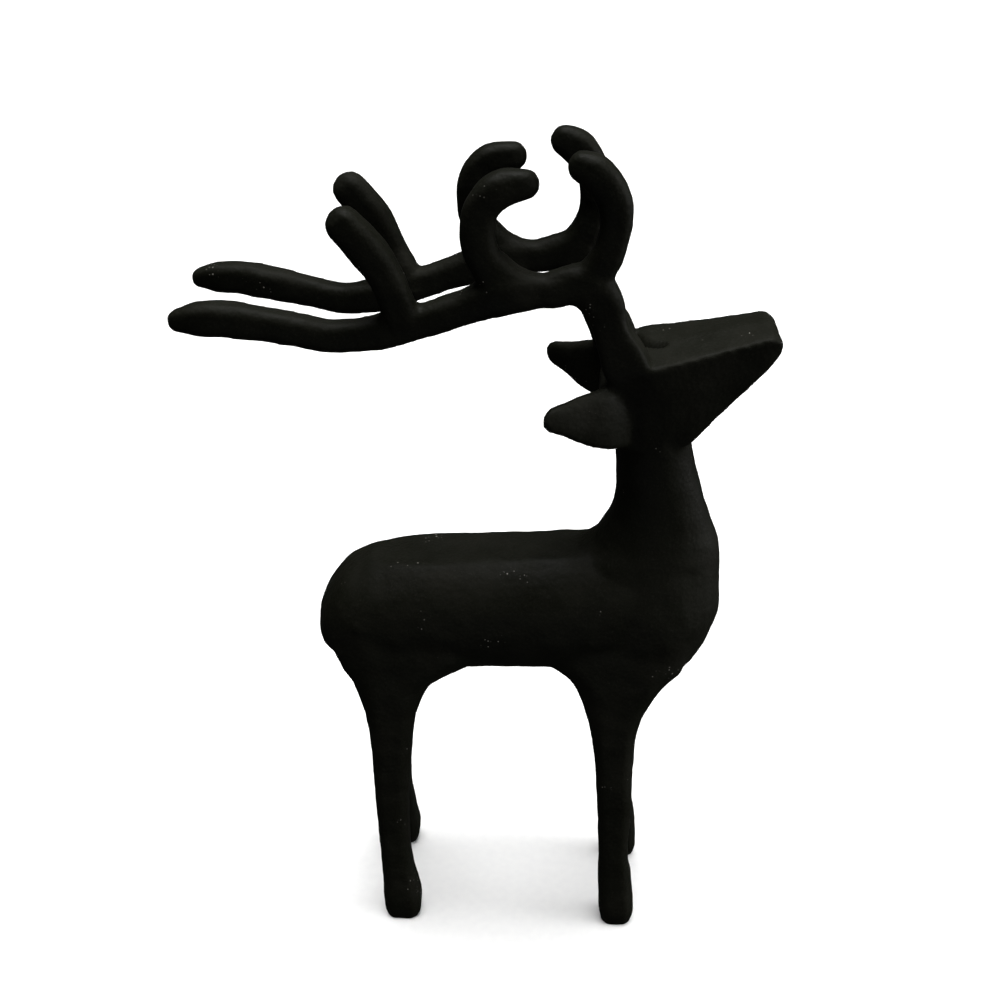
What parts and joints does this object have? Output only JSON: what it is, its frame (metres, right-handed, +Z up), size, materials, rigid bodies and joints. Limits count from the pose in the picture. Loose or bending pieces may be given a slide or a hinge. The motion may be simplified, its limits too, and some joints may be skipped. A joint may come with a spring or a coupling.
{
  "type": "stag statue",
  "caption": "Matt black cast iron stag standing on its own feet, head raised, with long swept-back antlers that curl into open rings.",
  "frame": {"origin": "on the ground under the middle of the statue's box, in the plane of the four soles", "axes": "+X the way the stag faces, +Y to its left, +Z up; the picture looks at its right side, from -Y"},
  "size_m": [0.1978, 0.0662, 0.2999],
  "materials": {
    "black_cast_iron": "matt black paint over rough sand-cast iron"
  },
  "bodies": {
    "root": {"stag": "black_cast_iron"}
  },
  "joints": []
}
